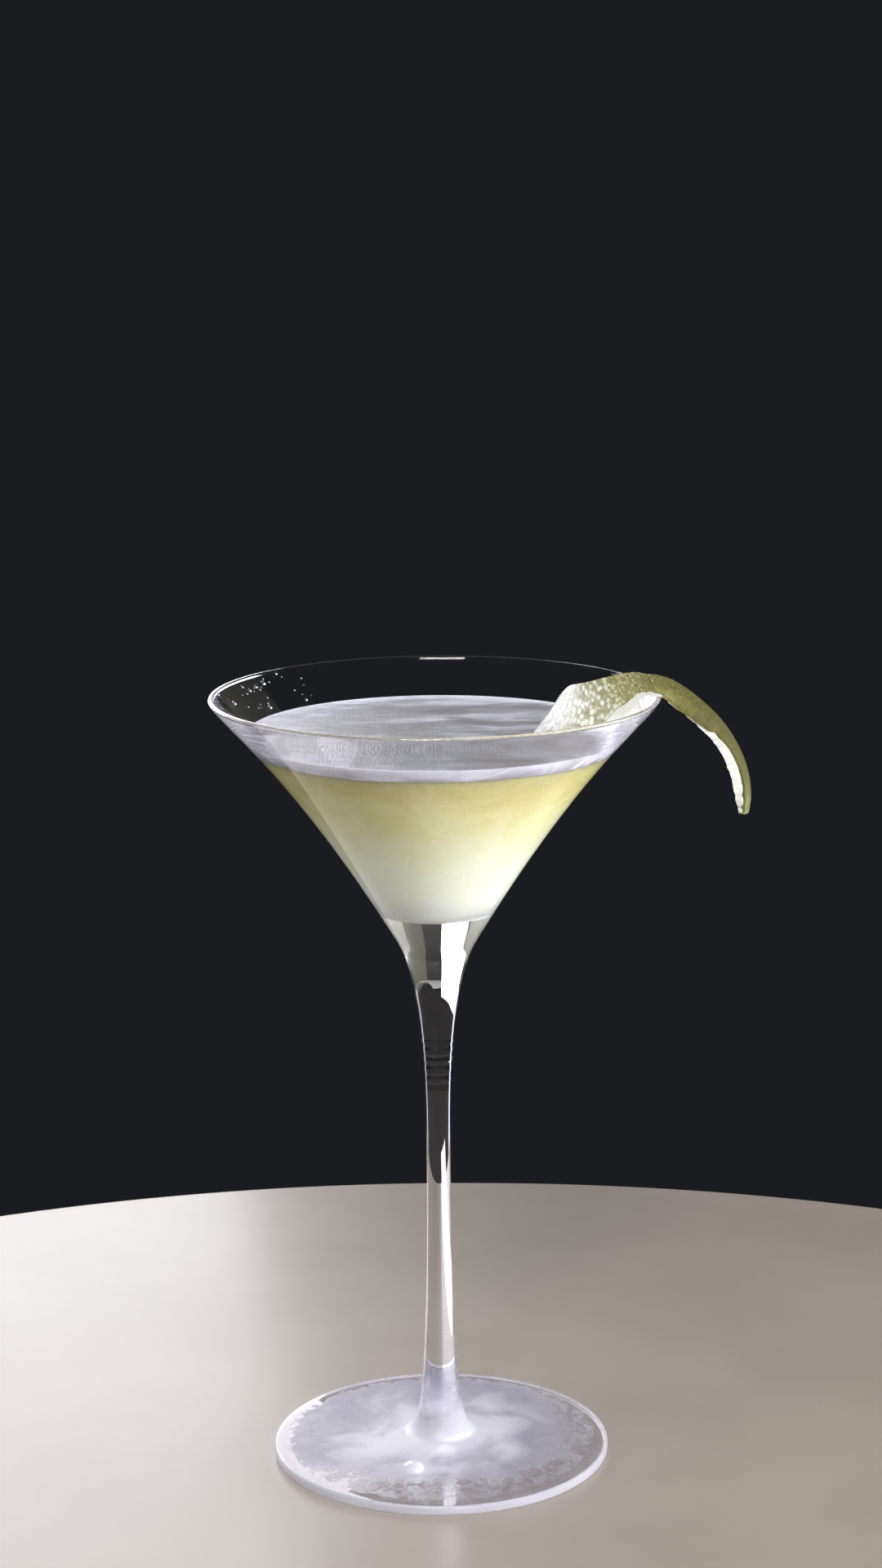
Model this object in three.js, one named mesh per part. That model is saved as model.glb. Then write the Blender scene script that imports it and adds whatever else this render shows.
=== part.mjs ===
// A fine stemmed martini glass, filled with a foamed drink and garnished with a twist of citrus peel.
// Millimetres, +Z up. The origin is the middle of the foot's flat underside, on the table.

import * as THREE from 'three';

// Overall
const height = 184;             // table to rim
const rimDiameter = 104;
const footDiameter = 80;

// Bowl: a blown cone with a slightly hollow flank and an upright lip, closed by a solid neck
const bowlDepth = 50.0;         // rim down to the bottom of the inside
const rimWall = 1.0;            // glass thickness at the rim
const lowerWall = 2.4;          // glass thickness beside the well
const lipRound = 0.3;           // rounding of the rim's two edges
const lipRise = 3.8;            // height over which the flank turns upright at the rim
const lipLean = 0.8;            // and how far it still leans out there
const wellRise = 5.5;           // height of the rounded bottom of the inside
const neckLength = 25.2;        // solid glass from the bottom of the inside to the stem
const neckDiameter = 19.0;      // where the flank turns into the neck
const neckTurn = 7.8;           // how far below the inside's bottom that is

// Stem: drawn by hand, thinnest below its middle, with a flared pad at its foot
const jointDiameter = 9.0;      // where bowl and stem are fused
const jointTaper = 0.144;       // radius gained per mm going up, at the joint
const waistDiameter = 5.6;
const waistHeight = 70;
const flareDiameter = 7.7;
const flareHeight = 24;
const flareTaper = 0.053;       // radius gained per mm going down, where the flare begins
const padDiameter = 18;

// Foot: a pressed disc, a little higher in the middle
const footRise = 4.2;           // thickness under the stem's pad
const footEdge = 2.3;           // thickness at the edge
const footEdgeRound = 0.8;

// Contents
const fillBelowRim = 8.7;       // rim down to the top of the foam
const foamDepth = 2.5;
const liquidGap = 0.1;          // film between liquid and glass

// Twist of peel: two bonded layers, yellow zest over white pith
const zestThickness = 0.8;
const pithThickness = 2.0;
const bondGap = 0.1;            // between the two layers
const restGap = 0.2;            // peel to the rim and to the foam
const pressedPith = 0.2;        // pith left under the near edge where it lies on the rim
const rimPressInside = 2.2;     // how far inside the rim the pith is pressed flat
const rimPressOutside = 1.4;    // and how far outside it

const rimRadius = rimDiameter / 2;
const footRadius = footDiameter / 2;
const wellHeight = height - bowlDepth;
const jointHeight = wellHeight - neckLength;
const foamTop = height - fillBelowRim;
const drinkTop = foamTop - foamDepth;

const point = (r, z) => new THREE.Vector2(r, z);
const bend = (from, pull, to) => new THREE.QuadraticBezierCurve(from, pull, to);
const mix = (a, b, share) => a + (b - a) * share;

// A smooth line that leaves `from` along `fromWay` and arrives at `to` along `toWay`;
// each pull is a share of the distance between the two ends.
function sweep(from, fromWay, fromPull, to, toWay, toPull) {
  const span = from.distanceTo(to);
  const first = from.clone().addScaledVector(fromWay.clone().normalize(), span * fromPull);
  const second = to.clone().addScaledVector(toWay.clone().normalize(), -span * toPull);
  return new THREE.CubicBezierCurve(from, first, second, to);
}

function addPiece(group, name, geometry, look) {
  const mesh = new THREE.Mesh(geometry, new THREE.MeshStandardMaterial(look));
  mesh.name = name;
  group.add(mesh);
}

// A turned solid: the outline runs from the axis at the bottom, up the outside, back to the axis.
function turned(outline, segments) {
  const geometry = new THREE.LatheGeometry(outline, segments);
  geometry.rotateX(Math.PI / 2);
  return geometry;
}

// ---------------------------------------------------------------- bowl outline

const flankFullness = 0.619;    // where the flank's lower pull lies, radially and in height
const flankLift = 0.765;
const neckEnd = point(neckDiameter / 2, wellHeight - neckTurn);
const rimOuter = point(rimRadius, height);
const flankPull = point(mix(neckEnd.x, rimOuter.x, flankFullness), mix(neckEnd.y, rimOuter.y, flankLift));
const lipPull = point(rimRadius - lipLean, height - lipRise);
const flank = new THREE.CubicBezierCurve(neckEnd, flankPull, lipPull, rimOuter);
const jointWay = point(jointTaper, 1);
const joint = point(jointDiameter / 2, jointHeight);

// A point of the inside wall: the flank set in along its own normal by the wall's thickness there.
function insideWall(t) {
  const way = flank.getTangent(t);
  const thickness = mix(lowerWall, rimWall, t);
  const outside = flank.getPoint(t);
  return point(outside.x - way.y * thickness, outside.y + way.x * thickness);
}

// The share of the flank at which the inside wall reaches a radius (key x) or a height (key y).
function shareAt(key, value) {
  let low = 0;
  let high = 1;
  for (let i = 0; i < 40; i += 1) {
    const middle = (low + high) / 2;
    if (insideWall(middle)[key] < value) low = middle;
    else high = middle;
  }
  return (low + high) / 2;
}

const insideHeight = (radius) => insideWall(shareAt('x', radius)).y;

const wellSteps = 5;

// The inside of the bowl from the bottom on the axis up to a height, as one outline.
function insideOutline(top, wallSteps) {
  const start = shareAt('y', wellHeight + wellRise);
  const wallFoot = insideWall(start);
  const way = insideWall(start + 0.01).sub(wallFoot);
  const pull = point(wallFoot.x - wellRise * way.x / way.y, wellHeight);
  const outline = bend(point(0, wellHeight), pull, wallFoot).getPoints(wellSteps);
  const end = shareAt('y', top);
  for (let i = 1; i <= wallSteps; i += 1) {
    outline.push(insideWall(mix(start, end, i / wallSteps)));
  }
  outline[outline.length - 1].y = top;
  return outline;
}

function bowlGeometry() {
  const neck = sweep(joint, jointWay, 0.6, neckEnd, flank.getTangent(0), 0.18);
  const inside = insideOutline(height - lipRound, 12).reverse();
  const lipInside = inside[0].x;
  const outside = flank.getPoints(12);
  const lipOutside = outside.pop();
  return turned([
    point(0, jointHeight),
    ...neck.getPoints(6),
    ...outside.slice(1),
    point(lipOutside.x, height - lipRound),
    point(lipOutside.x - lipRound, height),
    point(lipInside + lipRound, height),
    ...inside,
  ], 48);
}

// ---------------------------------------------------------------- stem and foot

function stemGeometry() {
  const down = point(0, -1);
  const waist = point(waistDiameter / 2, waistHeight);
  const flare = point(flareDiameter / 2, flareHeight);
  const flareWay = point(flareTaper, -1);
  const pad = point(padDiameter / 2, footRise);
  const upper = sweep(joint, jointWay.clone().negate(), 0.3, waist, down, 0.36);
  const lower = sweep(waist, down, 0.5, flare, flareWay, 0.22);
  const spread = sweep(flare, flareWay, 0.35, pad, point(1, -0.06), 0.2);
  const outline = [
    ...upper.getPoints(6),
    ...lower.getPoints(5).slice(1),
    ...spread.getPoints(8).slice(1),
  ].reverse();
  return turned([point(0, footRise), ...outline, point(0, jointHeight)], 32);
}

function footGeometry() {
  const shoulder = footRadius - footEdgeRound;
  const edgeTop = bend(
    point(footRadius, footEdge - footEdgeRound),
    point(footRadius, footEdge),
    point(shoulder, footEdge),
  ).getPoints(3);
  const edgeBottom = bend(
    point(shoulder, 0),
    point(footRadius, 0),
    point(footRadius, footEdgeRound),
  ).getPoints(3);
  return turned([
    point(0, 0),
    ...edgeBottom,
    ...edgeTop,
    point(mix(padDiameter / 2, footRadius, 0.5), mix(footRise, footEdge, 0.62)),
    point(padDiameter / 2, footRise),
    point(0, footRise),
  ], 64);
}

// ---------------------------------------------------------------- drink and foam

const setIn = (p) => point(Math.max(p.x - liquidGap, 0), p.y);

function drinkGeometry() {
  const wetted = insideOutline(drinkTop, 8).map(setIn);
  const lifted = wetted.map((p, i) => (i < wellSteps ? point(p.x, p.y + liquidGap) : p));
  return turned([...lifted, point(0, drinkTop)], 48);
}

function foamGeometry() {
  const bottom = setIn(insideWall(shareAt('y', drinkTop)));
  const top = setIn(insideWall(shareAt('y', foamTop)));
  return turned([
    point(0, drinkTop),
    point(bottom.x, drinkTop),
    point(top.x, foamTop),
    point(0, foamTop),
  ], 48);
}

// ---------------------------------------------------------------- twist of peel

// The middle line of the zest's outer face, from the end that rests in the foam, over the rim, to
// the hanging tip. Each station says how far out from the rim it is, how far to the side, how far
// the strip is rolled about its own run, its width, how far the far edge runs ahead of the near one,
// and how far the pith's cut edge stands out past the zest. Inside the bowl the near edge is placed
// by `dip`, the share of the way down from its resting height over the rim to the foam. Outside,
// the middle line is placed by how far it is above that resting height.
const stations = [
  { out: -26.5, side: -3.0, dip: 1.00, roll: 80, width: 11.6, ahead: 7, ledge: 0.3 },
  { out: -21.5, side: -2.9, dip: 1.00, roll: 79, width: 12.2, ahead: 4, ledge: 0.6 },
  { out: -16.0, side: -2.5, dip: 0.87, roll: 69, width: 12.0, ahead: 1, ledge: 1.0 },
  { out: -10.3, side: -2.2, dip: 0.50, roll: 49, width: 11.3, ahead: 0, ledge: 1.6 },
  { out: -6.4, side: -2.1, dip: 0.16, roll: 29, width: 10.8, ahead: 0, ledge: 1.2 },
  { out: -3.3, side: -2.2, dip: 0.00, roll: 19, width: 10.4, ahead: 0, ledge: 0.2 },
  { out: 1.2, side: -2.4, above: 1.5, roll: 16, width: 10.0, ahead: 0, ledge: 0 },
  { out: 5.4, side: -2.5, above: -0.7, roll: 15, width: 9.8, ahead: 0, ledge: 0.1 },
  { out: 9.3, side: -2.4, above: -3.7, roll: 15, width: 9.5, ahead: 0, ledge: 0.3 },
  { out: 13.1, side: -2.1, above: -7.6, roll: 13, width: 9.0, ahead: 0, ledge: 0.5 },
  { out: 16.3, side: -1.9, above: -12.2, roll: 12, width: 8.5, ahead: 0, ledge: 0.5 },
  { out: 18.7, side: -1.7, above: -17.2, roll: 13, width: 7.9, ahead: 0, ledge: 0.5 },
  { out: 19.9, side: -1.6, above: -22.0, roll: 16, width: 6.9, ahead: 0, ledge: 0.4 },
  { out: 20.1, side: -1.3, above: -26.4, roll: 20, width: 5.3, ahead: 0, ledge: 0.3 },
  { out: 19.8, side: -1.0, above: -29.2, roll: 22, width: 3.6, ahead: 0, ledge: 0.2 },
];
const sections = 52;
const columns = 4;
const restHeight = height + restGap + pressedPith + bondGap + zestThickness;

function stationPlace({ out, side, dip, above, roll, width }) {
  if (dip === undefined) return new THREE.Vector3(rimRadius + out, side, restHeight + above);
  const nearEdge = mix(restHeight, foamTop + restGap, dip);
  const halfRise = Math.sin(THREE.MathUtils.degToRad(roll)) * width / 2;
  return new THREE.Vector3(rimRadius + out, side, nearEdge + halfRise);
}

// The strip's sections: at each, its middle, the way along the run, the way across its width and
// its outward normal.
function stripSections() {
  const run = new THREE.CatmullRomCurve3(stations.map(stationPlace), false, 'centripetal');
  const sideways = new THREE.Vector3(0, 1, 0);
  const found = [];
  for (let i = 0; i <= sections; i += 1) {
    const t = i / sections;
    const place = t * (stations.length - 1);
    const first = Math.min(Math.floor(place), stations.length - 2);
    const at = (key) => mix(stations[first][key], stations[first + 1][key], place - first);
    const along = run.getTangent(t);
    along.y = 0;
    along.normalize();
    const up = new THREE.Vector3(-along.z, 0, along.x);
    const roll = THREE.MathUtils.degToRad(at('roll'));
    found.push({
      middle: run.getPoint(t),
      along,
      across: sideways.clone().multiplyScalar(Math.cos(roll)).addScaledVector(up, Math.sin(roll)),
      normal: up.clone().multiplyScalar(Math.cos(roll)).addScaledVector(sideways, -Math.sin(roll)),
      width: at('width'),
      ahead: at('ahead'),
      ledge: at('ledge'),
    });
  }
  return found;
}

// A point of the strip: a share of the way across it, a depth below the zest's outer face, and a
// distance that its near edge stands out.
function stripPoint(section, share, depth, ledge) {
  const reach = mix(-section.width / 2 - ledge, section.width / 2, share);
  return section.middle.clone()
    .addScaledVector(section.across, reach)
    .addScaledVector(section.along, section.ahead * (share - 0.5))
    .addScaledVector(section.normal, -depth);
}

// Inside the bowl the peel goes no lower than the foam.
function floated(p) {
  if (Math.hypot(p.x, p.y) < rimRadius) p.z = Math.max(p.z, foamTop + restGap);
  return p;
}

// Soft pith is pressed flat where it lies over the rim, and clears the wall inside it.
function pressed(p) {
  const radius = Math.hypot(p.x, p.y);
  const mouth = rimRadius - rimWall - rimPressInside;
  if (radius > rimRadius + rimPressOutside) return p;
  p.z = Math.max(p.z, (radius > mouth ? height : insideHeight(radius)) + restGap);
  return floated(p);
}

// A closed strip between two faces, each given as a function of a section and a share across it.
function stripGeometry(topFace, bottomFace) {
  const positions = [];
  const indices = [];
  const ring = 2 * (columns + 1);
  for (const section of stripSections()) {
    for (let j = 0; j <= columns; j += 1) positions.push(...topFace(section, j / columns).toArray());
    for (let j = columns; j >= 0; j -= 1) positions.push(...bottomFace(section, j / columns).toArray());
  }
  for (let i = 0; i < sections; i += 1) {
    for (let j = 0; j < ring; j += 1) {
      const a = i * ring + j;
      const b = i * ring + (j + 1) % ring;
      // both faces take the same diagonal, so that two bonded layers match
      if (j < columns) indices.push(a, a + ring, b, b, a + ring, b + ring);
      else indices.push(a, a + ring, b + ring, a, b + ring, b);
    }
  }
  for (let j = 0; j < columns; j += 1) {
    const across = [j, j + 1, ring - 2 - j, ring - 1 - j];
    const last = across.map((k) => k + sections * ring);
    indices.push(across[0], across[1], across[2], across[0], across[2], across[3]);
    indices.push(last[0], last[2], last[1], last[0], last[3], last[2]);
  }
  const geometry = new THREE.BufferGeometry();
  geometry.setAttribute('position', new THREE.Float32BufferAttribute(positions, 3));
  geometry.setIndex(indices);
  geometry.computeVertexNormals();
  return geometry;
}

function zestGeometry() {
  return stripGeometry(
    (section, share) => floated(stripPoint(section, share, 0, 0)),
    (section, share) => floated(stripPoint(section, share, zestThickness, 0)),
  );
}

function pithGeometry() {
  const top = zestThickness + bondGap;
  return stripGeometry(
    (section, share) => floated(stripPoint(section, share, top, 0)),
    (section, share) => pressed(stripPoint(section, share, top + pithThickness, section.ledge)),
  );
}

// ---------------------------------------------------------------- assembly

const glassLook = { color: 0xe6eaf2, roughness: 0.05, metalness: 0, transparent: true, opacity: 0.5 };
const drinkLook = { color: 0xd9d79c, roughness: 0.3, metalness: 0 };
const foamLook = { color: 0xd6d6d0, roughness: 0.7, metalness: 0 };
const zestLook = { color: 0xb0a83c, roughness: 0.45, metalness: 0 };
const pithLook = { color: 0xeef1e4, roughness: 0.8, metalness: 0 };

const martiniGlass = new THREE.Group();
addPiece(martiniGlass, 'bowl', bowlGeometry(), glassLook);
addPiece(martiniGlass, 'stem', stemGeometry(), glassLook);
addPiece(martiniGlass, 'foot', footGeometry(), glassLook);
addPiece(martiniGlass, 'drink', drinkGeometry(), drinkLook);
addPiece(martiniGlass, 'foam', foamGeometry(), foamLook);
addPiece(martiniGlass, 'zest', zestGeometry(), zestLook);
addPiece(martiniGlass, 'pith', pithGeometry(), pithLook);

export default martiniGlass;
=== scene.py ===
import math
import random

import bpy
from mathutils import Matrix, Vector, noise


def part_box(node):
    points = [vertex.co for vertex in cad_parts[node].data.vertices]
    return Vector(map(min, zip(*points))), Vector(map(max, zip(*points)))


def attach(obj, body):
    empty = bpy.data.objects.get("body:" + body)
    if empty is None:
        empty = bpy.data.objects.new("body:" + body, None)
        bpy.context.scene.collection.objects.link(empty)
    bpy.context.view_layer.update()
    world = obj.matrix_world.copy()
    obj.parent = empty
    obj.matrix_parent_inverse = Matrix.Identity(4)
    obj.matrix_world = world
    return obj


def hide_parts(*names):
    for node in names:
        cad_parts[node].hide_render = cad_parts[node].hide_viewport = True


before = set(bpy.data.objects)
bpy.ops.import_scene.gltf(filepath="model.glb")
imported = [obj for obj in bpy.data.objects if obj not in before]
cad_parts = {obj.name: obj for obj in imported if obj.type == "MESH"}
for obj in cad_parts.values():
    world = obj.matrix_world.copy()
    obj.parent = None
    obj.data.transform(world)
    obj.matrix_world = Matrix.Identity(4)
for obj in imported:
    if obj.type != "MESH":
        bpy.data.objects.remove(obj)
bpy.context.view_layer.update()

MM = 0.001
NEARLY = 0.01 * MM
WELD = 0.002 * MM

# ------------------------------------------------------------------ sizes from the frame

RIM_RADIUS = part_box("bowl")[1][0]
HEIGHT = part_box("bowl")[1][2]
JOINT_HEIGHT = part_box("bowl")[0][2]
FOOT_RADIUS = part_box("foot")[1][0]
FOOT_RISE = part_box("foot")[1][2]
DRINK_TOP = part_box("drink")[1][2]
FOAM_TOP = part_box("foam")[1][2]
WELL_CLEARANCE = 0.1 * MM
WELL_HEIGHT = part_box("drink")[0][2] - WELL_CLEARANCE

# Bowl
RIM_WALL = 1.0 * MM
LOWER_WALL = 2.4 * MM
LIP_ROUND = 0.5 * MM
LIP_BOTTOM = HEIGHT - LIP_ROUND
LIP_RISE = 3.8 * MM
LIP_LEAN = 0.8 * MM
WELL_RISE = 5.5 * MM
NECK_RADIUS = 9.5 * MM
NECK_TURN = 7.8 * MM
FLANK_FULLNESS = 0.619
FLANK_LIFT = 0.765

# Stem
JOINT_RADIUS = 4.5 * MM
JOINT_TAPER = 0.144
WAIST_RADIUS = 2.8 * MM
WAIST_HEIGHT = 70 * MM
FLARE_RADIUS = 3.85 * MM
FLARE_HEIGHT = 24 * MM
FLARE_TAPER = 0.053
PAD_RADIUS = 9 * MM
RIPPLE = 0.08 * MM
RIPPLE_PITCH = 2.3 * MM
RIPPLE_HEIGHT = 97 * MM
RIPPLE_REACH = 9 * MM
FINE_RIPPLE = 0.6
FINE_RIPPLE_TURN = 9.7

# Foot
FOOT_EDGE = 2.3 * MM
FOOT_ROUND = 0.8 * MM
FOOT_SHOULDER = FOOT_RADIUS - FOOT_ROUND
KICK_RISE = 0.7 * MM
KICK_RADIUS = 33 * MM

# Contents
SOAK = 0.15 * MM
MENISCUS = 0.35 * MM
MENISCUS_REACH = 1.3 * MM
FOAM_SOAK = 1.6 * SOAK
FOAM_SAG = 0.15 * MM
FOAM_LAP = 2 * MM
FOAM_DIP = 0.1 * MM
FOAM_FLOW = 0.09 * MM
FOAM_FLOW_SCALE = (300, 900)
FOAM_HANG = 0.3 * MM
FOAM_HANG_SCALE = 4

# Peel
ZEST_THICKNESS = 0.8 * MM
PITH_THICKNESS = 2.0 * MM
BOND = 0.1 * MM
REST_GAP = 0.2 * MM
PRESSED_PITH = 0.2 * MM
RIM_PRESS_INSIDE = 2.2 * MM
RIM_PRESS_OUTSIDE = 1.4 * MM
CROWN = 0.3 * MM
PEEL_LENGTH = 86 * MM
END_ROUND = 0.09
END_CUT = 0.42
GLAND_COUNT = (84, 7, 1)
GLAND_REACH = 0.7
INNER_RELIEF = 0.45 * MM
OUTER_RELIEF = 0.08 * MM
RIM_SHARE = 0.45
KNIFE_WANDER = 0.5 * MM
KNIFE_PITCH = 2.6 * MM
PITH_TEAR = 0.55 * MM
TEAR_PITCH = 2.4 * MM
FINE_TEAR_PITCH = 0.9 * MM
PITH_ROUGHNESS = 0.14 * MM
SPONGE_PITCH = 1.4 * MM

# Water drops: height above the foam in mm, angle in degrees and width in mm
WALL_DROPS = (
    (8.2, 178, 0.5), (8.0, 173, 0.7), (5.1, 168, 1.0), (7.1, 156, 0.6), (6.0, 154, 0.8),
    (6.3, 150, 0.7), (6.6, 146, 1.0), (7.9, 139, 0.6), (1.9, 151, 0.9), (1.7, 134, 0.6),
    (3.4, -130, 0.5), (5.6, -120, 0.5), (4.0, -176, 0.5),
)
FINE_DROP_COUNT = 26
FINE_DROP_HEIGHTS = (2.0, 8.2)
FINE_DROP_ANGLES = (128, 182)
FINE_DROP_WIDTHS = (0.18, 0.4)
DROP_SPREAD = 1.3
DROP_FLATNESS = 0.5
FOOT_DROP_PLACE = (-6.5 * MM, -20.5 * MM, 0)
FOOT_DROP_RADIUS = 2.5 * MM
FOOT_DROP_LIFT = 0.5 * MM

# Tabletop
TABLE_RADIUS = 330 * MM
TABLE_THICKNESS = 25 * MM
TABLE_FORWARD = 135 * MM
TABLE_CLEARANCE = 0.1 * MM
TABLE_EDGE = 3 * MM

# Camera
CAMERA_PLACE = (1.3 * MM, -740 * MM, 321.8 * MM)
CAMERA_TILT = math.radians(77.884)
CAMERA_ROLL = math.radians(-0.489)
CAMERA_LENS = 75.4
SENSOR_WIDTH = 36

# Steps that make the curves smooth, and angles under which faces are shaded as one surface
TURN_STEPS = 128
FOAM_TURN_STEPS = 192
NECK_STEPS = 18
WALL_STEPS = 44
WELL_STEPS = 10
LIP_STEPS = 8
STEM_STEPS = 70
FLARE_STEPS = 24
PAD_STEPS = 30
FOOT_STEPS = 26
DOME_SEARCH_STEPS = 200
KICK_STEPS = 14
ROUND_STEPS = 6
DRINK_STEPS = 36
FOAM_SIDE_STEPS = 10
FOAM_TOP_STEPS = 60
PEEL_RUN_STEPS = 340
PEEL_CROSS_STEPS = 40
HALVINGS = 40
SMOOTH_UNDER = math.radians(40)
PEEL_SMOOTH_UNDER = math.radians(50)


# ------------------------------------------------------------------ modelling helpers

def deselect():
    """Leaves edit mode with nothing selected."""
    if bpy.context.object and bpy.context.object.mode != "OBJECT":
        bpy.ops.object.mode_set(mode="OBJECT")
    bpy.ops.object.select_all(action="DESELECT")


def named(name):
    """The new object, with the name that it keeps."""
    piece = bpy.context.object
    piece.name = name
    piece.data.name = name
    return piece


def spot(radius, height):
    return Vector((radius, height))


def mix(a, b, share):
    return a + (b - a) * share


def cubic(ends, t):
    """A point of a cubic curve, given as its start, two pulls and its end."""
    a, b, c, d = ends
    s = 1 - t
    return a * s ** 3 + b * (3 * s * s * t) + c * (3 * s * t * t) + d * t ** 3


def cubic_way(ends, t):
    """The way that the curve runs at a point."""
    a, b, c, d = ends
    s = 1 - t
    return ((b - a) * (s * s) + (c - b) * (2 * s * t) + (d - c) * (t * t)).normalized()


def sweep(start, start_way, start_pull, end, end_way, end_pull):
    """A smooth line leaving one point along a way and reaching another along another way."""
    span = (end - start).length
    first = start + start_way.normalized() * span * start_pull
    second = end - end_way.normalized() * span * end_pull
    return (start, first, second, end)


def along(ends, steps):
    return [cubic(ends, i / steps) for i in range(steps + 1)]


def turned(name, outline, steps=TURN_STEPS):
    """A solid turned about the glass's axis, from an outline that starts and ends on it."""
    deselect()
    bpy.ops.mesh.primitive_plane_add(size=MM, location=(outline[0].x, 0, outline[0].y))
    piece = named(name)
    bpy.ops.object.transform_apply(location=True, rotation=True, scale=True)
    bpy.ops.object.mode_set(mode="EDIT")
    bpy.ops.mesh.merge(type="CENTER")
    for last, place in zip(outline, outline[1:]):
        step = place - last
        bpy.ops.mesh.extrude_vertices_move(TRANSFORM_OT_translate={"value": (step.x, 0, step.y)})
    bpy.ops.mesh.select_all(action="SELECT")
    bpy.ops.mesh.spin(steps=steps, angle=math.tau, center=(0, 0, 0), axis=(0, 0, 1))
    bpy.ops.mesh.select_all(action="SELECT")
    bpy.ops.mesh.remove_doubles(threshold=WELD)
    bpy.ops.mesh.normals_make_consistent(inside=False)
    bpy.ops.object.mode_set(mode="OBJECT")
    bpy.ops.object.shade_smooth_by_angle(angle=SMOOTH_UNDER)
    return piece


def apply_modifier(piece, kind, **settings):
    modifier = piece.modifiers.new(kind.title(), kind)
    for key, value in settings.items():
        setattr(modifier, key, value)
    bpy.context.view_layer.objects.active = piece
    bpy.ops.object.modifier_apply(modifier=modifier.name)


def cap_with(piece, material, height):
    """Gives the flat faces at a height a material of their own."""
    piece.data.materials.append(material)
    for face in piece.data.polygons:
        if abs(face.center.z - height) < NEARLY and abs(face.normal.z) > 0.99:
            face.material_index = len(piece.data.materials) - 1


# ------------------------------------------------------------------ finishes

class Finish:
    """A material and its nodes. Inputs are values or other nodes' outputs."""

    def __init__(self, name):
        self.material = bpy.data.materials.new(name)
        self.material.use_nodes = True
        self.tree = self.material.node_tree
        self.tree.nodes.clear()

    def add(self, kind, inputs=None, **settings):
        made = self.tree.nodes.new("ShaderNode" + kind)
        for key, value in settings.items():
            setattr(made, key, value)
        for key, value in (inputs or {}).items():
            if isinstance(value, bpy.types.NodeSocket):
                self.tree.links.new(value, made.inputs[key])
            else:
                made.inputs[key].default_value = value
        return made

    def end(self, shader):
        self.add("OutputMaterial", {"Surface": shader})
        return self.material

    def place(self):
        return self.add("TexCoord").outputs["Object"]

    def axes(self, vector):
        return self.add("SeparateXYZ", {0: vector}).outputs

    def sums(self, operation, a, b, clamp=False):
        return self.add("Math", {0: a, 1: b}, operation=operation, use_clamp=clamp).outputs[0]

    def between(self, value, low, high, to_low=0.0, to_high=1.0):
        inputs = {"Value": value, 1: low, 2: high, 3: to_low, 4: to_high}
        return self.add("MapRange", inputs, interpolation_type="SMOOTHSTEP").outputs[0]

    def from_axis(self):
        """How far a point is from the glass's axis."""
        flat = self.add("VectorMath", {0: self.place(), 1: (1, 1, 0)}, operation="MULTIPLY")
        return self.add("VectorMath", {0: flat.outputs[0]}, operation="LENGTH").outputs["Value"]

    def grain(self, size, detail, stretch=(1, 1, 1), turn=(0, 0, 0), rough=0.5, warp=0.0):
        """Soft noise whose largest marks have about the given size."""
        mapped = self.add("Mapping", {"Vector": self.place(), "Scale": stretch, "Rotation": turn})
        inputs = {
            "Vector": mapped.outputs[0],
            "Scale": 1 / size,
            "Detail": detail,
            "Roughness": rough,
            "Distortion": warp,
        }
        return self.add("TexNoise", inputs).outputs[0]

    def cells(self, size, stretch=(1, 1, 1), vector=None):
        """The distance from the middle of the nearest of many scattered cells."""
        mapped = self.add("Mapping", {"Vector": vector or self.place(), "Scale": stretch})
        inputs = {"Vector": mapped.outputs[0], "Scale": 1 / size}
        return self.add("TexVoronoi", inputs).outputs["Distance"]

    def blend(self, share, a, b):
        inputs = {"Factor": share, 6: a, 7: b}
        return self.add("Mix", inputs, data_type="RGBA").outputs[2]

    def steps(self, value, stops):
        """Colours that follow each other as a value rises."""
        made = self.add("ValToRGB", {"Fac": value})
        ramp = made.color_ramp
        for _ in range(len(stops) - 2):
            ramp.elements.new(0.5)
        for element, (position, colour) in zip(ramp.elements, stops):
            element.position = position
            element.color = (*colour, 1)
        return made.outputs[0]

    def bump(self, height, depth, strength):
        return self.add("Bump", {"Height": height, "Distance": depth, "Strength": strength}).outputs[0]

    def through(self, shader, tint):
        """Lets lamps shine through a clear material instead of leaving it to cast a solid shadow."""
        lamp = self.add("LightPath").outputs["Is Shadow Ray"]
        clear = self.add("BsdfTransparent", {"Color": tint}).outputs[0]
        return self.add("MixShader", {0: lamp, 1: shader, 2: clear}).outputs[0]


CRYSTAL_TINT = (0.96, 0.965, 1.0, 1)


def clear_crystal():
    """Fire-polished glass with the faint streaks that a cloth leaves."""
    f = Finish("clear_crystal")
    wiped = f.grain(9 * MM, 4, stretch=(1, 1, 0.25), warp=0.6)
    body = f.add("BsdfPrincipled", {
        "Base Color": CRYSTAL_TINT,
        "Roughness": f.between(wiped, 0.45, 0.8, 0.025, 0.06),
        "IOR": 1.5,
        "Transmission Weight": 1.0,
    }).outputs[0]
    return f.end(f.through(body, (0.97, 0.97, 1.0, 1)))


def fused_joint():
    """Two pieces of glass melted together show no face between them."""
    f = Finish("fused_joint")
    return f.end(f.add("BsdfTransparent", {"Color": (1, 1, 1, 1)}).outputs[0])


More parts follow.
